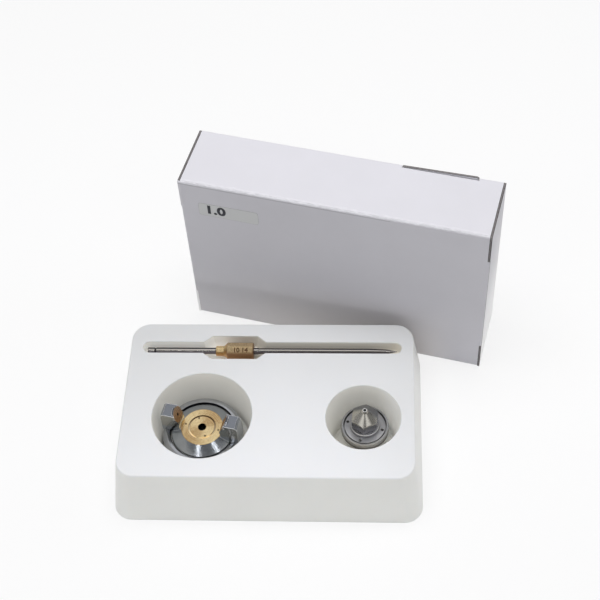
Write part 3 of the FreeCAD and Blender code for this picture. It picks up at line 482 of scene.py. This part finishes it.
class Tree:
    # a Geometry Nodes tree with named inputs, which leaves a plain mesh behind
    def __init__(self, name, inputs):
        self.group = bpy.data.node_groups.new(name, "GeometryNodeTree")
        self.ids = {}
        for label, kind in inputs.items():
            made = self.group.interface.new_socket(label, in_out="INPUT", socket_type="NodeSocket" + kind)
            self.ids[label] = made.identifier
        self.group.interface.new_socket("Mesh", in_out="OUTPUT", socket_type="NodeSocketGeometry")
        given = self.group.nodes.new("NodeGroupInput")
        self.given = {label: Wire(self.group, given.outputs[label]) for label in inputs}

    def node(self, kind, settings=None, sockets=None, out=0):
        return Wire(self.group, None).node("GeometryNode" + kind, settings, sockets, out)

    def close(self, made):
        made = self.node("RealizeInstances", {}, {0: made})
        made = self.node("SetMaterial", {}, {0: made, "Material": self.given["Material"]})
        end = self.group.nodes.new("NodeGroupOutput")
        self.group.links.new(made.socket, end.inputs[0])

    def mesh(self, **values):
        holder = bpy.data.objects.new("holder", bpy.data.meshes.new("empty"))
        scene.collection.objects.link(holder)
        modifier = holder.modifiers.new("tree", "NODES")
        modifier.node_group = self.group
        for label, given in values.items():
            modifier[self.ids[label]] = given
        made = bpy.data.meshes.new_from_object(holder.evaluated_get(bpy.context.evaluated_depsgraph_get()))
        holder.modifiers.remove(modifier)
        bpy.data.objects.remove(holder)
        return made


# screw threads: a helical ridge on the nozzle's shank and another in the ring's bore
threadSizes = {"nozzle": {"radius": 0.0070, "pitch": 0.0010, "low": 0.0046, "high": 0.0118, "side": 1},
               "ring": {"radius": 0.0185, "pitch": 0.0015, "low": 0.0046, "high": 0.0114, "side": -1},
               "ridge": 0.00026}
thread = Tree("threadRidge", {"Radius": "Float", "Pitch": "Float", "Turns": "Float", "Ridge": "Float",
                              "Material": "Material"})
radius, pitch, turns = (thread.given[k] for k in ("Radius", "Pitch", "Turns"))
helix = thread.node("CurveSpiral", {}, {"Resolution": 60, "Rotations": turns, "Start Radius": radius,
                                        "End Radius": radius, "Height": pitch * turns})
ridge = thread.node("CurvePrimitiveCircle", {}, {"Resolution": 4, "Radius": thread.given["Ridge"]})
thread.close(thread.node("CurveToMesh", {}, {"Curve": helix, "Profile Curve": ridge, "Fill Caps": True}))
for name, body, node, material, slot in (("nozzle", "nozzle", "fluid_nozzle", nozzleSteel, "nozzle"),
                                         ("ring", "retaining_ring", "retaining_ring", ringNickel, "ring")):
    sizes = threadSizes[name]
    reach = sizes["high"] - sizes["low"]
    made = thread.mesh(Radius=sizes["radius"] - 0.0001 * sizes["side"], Pitch=sizes["pitch"],
                       Turns=reach / sizes["pitch"], Ridge=threadSizes["ridge"], Material=material)
    centre = places["cap"] if name == "ring" else places["nozzle"]
    made.transform(Matrix.Translation((centre[0], centre[1], sizes["low"])))
    addPiece(name + "_thread", made, material, body, slot)
print("threads cut")


# flutes of the corrugated board, seen where it is cut across
fluteSizes = {"pitch": 0.0033, "rise": 0.00075, "wall": 0.00013}
flute = Tree("fluteRow", {"Count": "Int", "Pitch": "Float", "Rise": "Float", "Wall": "Float",
                          "Material": "Material"})
pitch, rise = flute.given["Pitch"], flute.given["Rise"]


def point(x, y):
    # a place in the plane of the wave
    return x.node("ShaderNodeCombineXYZ", {}, {0: x, 1: y})


bend = flute.node("CurvePrimitiveBezierSegment", {"mode": "POSITION"}, {
    "Resolution": 8, "Start": (0, 0, 0), "Start Handle": point(pitch * 0.36, rise * 1.7),
    "End Handle": point(pitch * 0.64, rise * -1.7), "End": point(pitch, rise * 0.0)})
strip = flute.node("CurvePrimitiveQuadrilateral", {}, {"Width": flute.given["Wall"],
                                                       "Height": flute.given["Wall"]})
wave = flute.node("CurveToMesh", {}, {"Curve": bend, "Profile Curve": strip, "Fill Caps": True})
row = flute.node("MeshLine", {}, {"Count": flute.given["Count"], "Offset": point(pitch, rise * 0.0)})
flute.close(flute.node("InstanceOnPoints", {}, {"Points": row, "Instance": wave}))

fluteFibre, shader, spot, facing = startMaterial("fluteFibre", Roughness=0.9, Specular_IOR_Level=0.2)
fibres = spot.noise(1.0, 4.0, 0.6, (1500, 1500, 300))
# dark fibre, its darkness partly painted shade inside the flutes
join(shader, Base_Color=fibres.mix(paint(52, 49, 48), paint(92, 88, 85)))

fluteRows = {
    # start, way along the edge, way across it and the length, in the carton's own axes
    "carton": [((-0.0800, 0.0014, 0.1083), (0, 1, 0), (1, 0, 0), 0.0340),
               ((0.0800, 0.0014, 0.1083), (0, 1, 0), (-1, 0, 0), 0.0340),
               ((0.0800, 0.0, 0.0907), (0, 0, 1), (1, 0, 0), 0.0165),
               ((0.0800, 0.0, 0.0010), (0, 0, 1), (1, 0, 0), 0.0165),
               ((-0.0800, 0.0368, 0.0010), (0, 0, 1), (-1, 0, 0), 0.1056),
               ((0.0800, 0.0368, 0.0010), (0, 0, 1), (-1, 0, 0), 0.1056),
               ((0.0780, 0.0368, 0.1077), (-1, 0, 0), (0, 0, 1), 0.0099),
               ((0.0270, 0.0368, 0.1077), (-1, 0, 0), (0, 0, 1), 0.1023)],
    "lid": [((0.0786, 0.0362, 0.1068), (-1, 0, 0), (0, 1, 0), 0.0099),
            ((0.0270, 0.0362, 0.1068), (-1, 0, 0), (0, 1, 0), 0.1023)],
}
for body, rows in fluteRows.items():
    joined = bmesh.new()
    for start, along, across, length in rows:
        made = flute.mesh(Count=round(length / fluteSizes["pitch"]), Pitch=fluteSizes["pitch"],
                          Rise=fluteSizes["rise"], Wall=fluteSizes["wall"], Material=fluteFibre)
        along, across = Vector(along), Vector(across)
        made.transform(cartonFrame @ frameAt(Vector(start), along, across, along.cross(across)))
        joined.from_mesh(made)
    merged = bpy.data.meshes.new(body)
    joined.to_mesh(merged)
    joined.free()
    addPiece(body + "_flutes", merged, fluteFibre, body, "board")
print("flutes laid")


# plain numbers: printed on the label and stamped round the collar
labelPlace = {"start": (-0.0620, -0.00014, 0.0903), "widen": 1.12}
collarPlace = {"along": 0.0132, "lean": 30.0, "lift": 0.00001, "step": 0.0002, "steps": 9}
numberSizes = {"label": {"words": "1.0", "height": 0.0082, "bold": 0.00034, "thick": 0.00002},
               "collar": {"words": "10 14", "height": 0.0034, "bold": 0.00014, "thick": 0.00002}}


def lettering(words, height, bold, thick):
    curve = bpy.data.curves.new("words", "FONT")
    curve.body, curve.size, curve.offset, curve.extrude = words, height, bold, thick
    curve.align_x, curve.align_y, curve.resolution_u = "CENTER", "CENTER", 4
    holder = bpy.data.objects.new("words", curve)
    scene.collection.objects.link(holder)
    made = bpy.data.meshes.new_from_object(holder.evaluated_get(bpy.context.evaluated_depsgraph_get()))
    bpy.data.objects.remove(holder)
    return made


inkBlack, shader, spot, facing = startMaterial("inkBlack", Roughness=0.6)
join(shader, Base_Color=spot.noise(700.0, 3.0).mix(paint(22, 22, 30), paint(52, 52, 62)))
made = lettering(**numberSizes["label"])
made.transform(cartonFrame @ frameAt(Vector(labelPlace["start"]), (labelPlace["widen"], 0, 0),
                                     (0, 0, 1), (0, -1, 0)))
addPiece("label_number", made, inkBlack, "carton", "label")

stampedBrass, shader, spot, facing = startMaterial("stampedBrass", Metallic=0.6, Roughness=0.5)
join(shader, Base_Color=spot.noise(900.0, 3.0).mix(paint(84, 58, 42), paint(128, 96, 66)))
made = lettering(**numberSizes["collar"])
cuts = bmesh.new()
cuts.from_mesh(made)
for step in range(-collarPlace["steps"], collarPlace["steps"] + 1):
    # cut across, so that the digits bend with the barrel
    bmesh.ops.bisect_plane(cuts, geom=cuts.verts[:] + cuts.edges[:] + cuts.faces[:],
                           plane_co=(0, step * collarPlace["step"], 0), plane_no=(0, 1, 0))
cuts.to_mesh(made)
cuts.free()
axisY, axisZ = (collarLow.y + collarHigh.y) / 2, (collarLow.z + collarHigh.z) / 2
reach, lean = (collarHigh.y - collarLow.y) / 2, math.radians(collarPlace["lean"])
for vertex in made.vertices:
    angle = lean - vertex.co.y / reach
    out = reach + collarPlace["lift"] + vertex.co.z
    vertex.co = (collarLow.x + collarPlace["along"] + vertex.co.x,
                 axisY - out * math.sin(angle), axisZ + out * math.cos(angle))
addPiece("collar_number", made, stampedBrass, "needle", "collar")
print("numbers set")


# floor, lights and camera
studio = {"floorSize": 3.0, "floor": (246, 246, 247), "azimuth": 5.517, "pitch": 52.396, "roll": -4.24,
          "distance": 0.7689, "aim": (0.011306, 0.088539, 0.0), "lens": 80.9}

floorMesh = bpy.data.meshes.new("floor")
s = studio["floorSize"]
floorMesh.from_pydata([(-s, -s, 0), (s, -s, 0), (s, s, 0), (-s, s, 0)], [], [(0, 1, 2, 3)])
floor = bpy.data.objects.new("floor", floorMesh)
scene.collection.objects.link(floor)
floorPaint, shader, spot, facing = startMaterial("floorPaint", Roughness=0.8, Specular_IOR_Level=0.1)
shader.inputs["Base Color"].default_value = paint(*studio["floor"])
tree = floorPaint.node_tree
seen = tree.nodes.new("ShaderNodeLightPath")
ray = Wire(tree, seen.outputs["Is Camera Ray"])
glossy = Wire(tree, seen.outputs["Is Glossy Ray"])
glow = ray.node("ShaderNodeEmission", {}, {"Color": (1, 1, 1, 1), "Strength": 1.0})
own = Wire(tree, shader.outputs[0])
lit = ray.sum("MAXIMUM", glossy) * 0.72
blend = ray.node("ShaderNodeMixShader", {}, {0: lit, 1: own, 2: glow})
tree.links.new(blend.socket, tree.nodes["Material Output"].inputs["Surface"])
floorMesh.materials.append(floorPaint)

world = bpy.data.worlds.new("studio")
scene.world = world
world.use_nodes = True
tree = world.node_tree
backdrop = tree.nodes["Background"]
seen = tree.nodes.new("ShaderNodeLightPath")
ray = Wire(tree, seen.outputs["Is Camera Ray"])
glossy = Wire(tree, seen.outputs["Is Glossy Ray"])
backdrop.inputs["Color"].default_value = (1, 1, 1, 1)
heading = Wire(tree, tree.nodes.new("ShaderNodeTexCoord").outputs["Generated"])
across, ahead, above = heading.axes()
# what metal mirrors: a soft box behind, two low lobes in front, and pale sides
softbox = (0.92 * above + 0.39 * ahead).ease(0.87, 0.975)
lobes = (0.0 - ahead).ease(0.45, 0.65) * above.ease(0.28, 0.42) * (1.0 - above.ease(0.7, 0.8))
lobes = lobes * abs(across).ease(0.08, 0.2)
upper = 0.2 * above.ease(0.45, 0.95) * (0.4 + 0.6 * ahead.ease(-0.5, 0.2))
sides = 0.2 * (0.0 - across).ease(0.3, 0.8) + 0.12 * across.ease(0.4, 0.9)
reflected = 0.12 + 0.5 * softbox + upper + sides + 0.8 * lobes
lowFront = (0.0 - ahead).ease(0.6, 0.9) * (1.0 - above.ease(0.15, 0.35)) * (above > 0.0)
fill = (1.0 - ray.sum("MAXIMUM", glossy)) * (0.34 + 1.2 * lowFront)
power = ray.sum("MAXIMUM", glossy * reflected) + fill
tree.links.new(power.socket, backdrop.inputs["Strength"])

lamps = {
    "top": {"place": (-0.05, 0.12, 0.95), "aim": (-0.02, 0.03, 0.02), "size": (0.7, 0.45), "power": 5.6},
    "left": {"place": (-0.8, -0.1, 0.5), "aim": (0.0, 0.0, 0.03), "size": (0.5, 0.5), "power": 0.3},
    "right": {"place": (0.75, 0.2, 0.5), "aim": (0.05, 0.05, 0.05), "size": (0.4, 0.5), "power": 0.9},
    "glintLeft": {"place": (-0.163, -0.310, 0.532), "aim": (-0.0355, -0.0233, 0.0203), "size": (0.05, 0.05),
                  "power": 0.075, "glossy": True},
    "glintRight": {"place": (0.238, -0.202, 0.528), "aim": (-0.0269, -0.0215, 0.0200), "size": (0.05, 0.05),
                   "power": 0.075, "glossy": True},
}
for name, lamp in lamps.items():
    light = bpy.data.lights.new(name, "AREA")
    light.shape = "RECTANGLE"
    light.size, light.size_y = lamp["size"]
    light.energy = lamp["power"]
    holder = bpy.data.objects.new(name, light)
    holder.location = lamp["place"]
    aim = Vector(lamp["aim"]) - Vector(lamp["place"])
    holder.rotation_euler = aim.to_track_quat("-Z", "Y").to_euler()
    holder.visible_glossy = lamp.get("glossy", False)
    scene.collection.objects.link(holder)

azimuth, pitch, roll = (math.radians(studio[k]) for k in ("azimuth", "pitch", "roll"))
right = Vector((math.cos(azimuth), math.sin(azimuth), 0))
back = Vector((math.sin(azimuth) * math.cos(pitch), -math.cos(azimuth) * math.cos(pitch), math.sin(pitch)))
up = back.cross(right)
lens = bpy.data.cameras.new("camera")
lens.lens = studio["lens"]
lens.sensor_width = 36
lens.clip_start = 0.01
camera = bpy.data.objects.new("camera", lens)
turnedRight = math.cos(roll) * right + math.sin(roll) * up
turnedUp = -math.sin(roll) * right + math.cos(roll) * up
camera.matrix_world = Matrix.Translation(Vector(studio["aim"]) + back * studio["distance"]) @ Matrix(
    (turnedRight, turnedUp, back)).transposed().to_4x4()
scene.collection.objects.link(camera)
scene.camera = camera
print("studio ready")
